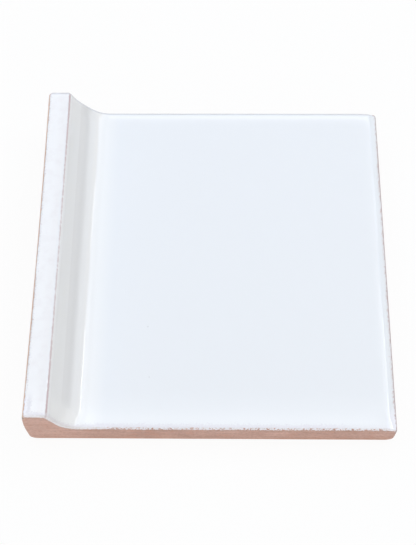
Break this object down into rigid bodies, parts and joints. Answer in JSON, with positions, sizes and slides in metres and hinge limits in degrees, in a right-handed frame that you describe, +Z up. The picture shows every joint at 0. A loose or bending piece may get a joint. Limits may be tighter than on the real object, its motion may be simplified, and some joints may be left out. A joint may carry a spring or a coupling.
{
  "type": "coved trim tile",
  "caption": "Square glazed clay tile with a flat field, a raised flat-topped rim along one side and a hollow cove between them, for finishing an edge or corner of tiling.",
  "frame": {"origin": "centre of the flat back, where the tile lies on its bed", "axes": "+Z up from the back to the glazed face, +Y along the rim, +X from the rim across to the field's edge"},
  "size_m": [0.1, 0.1, 0.021],
  "materials": {
    "glazed_clay": "gloss white glaze on the face, bare terracotta on the sides, ends and back"
  },
  "bodies": {
    "root": {"coved_tile": "glazed_clay"}
  },
  "joints": []
}
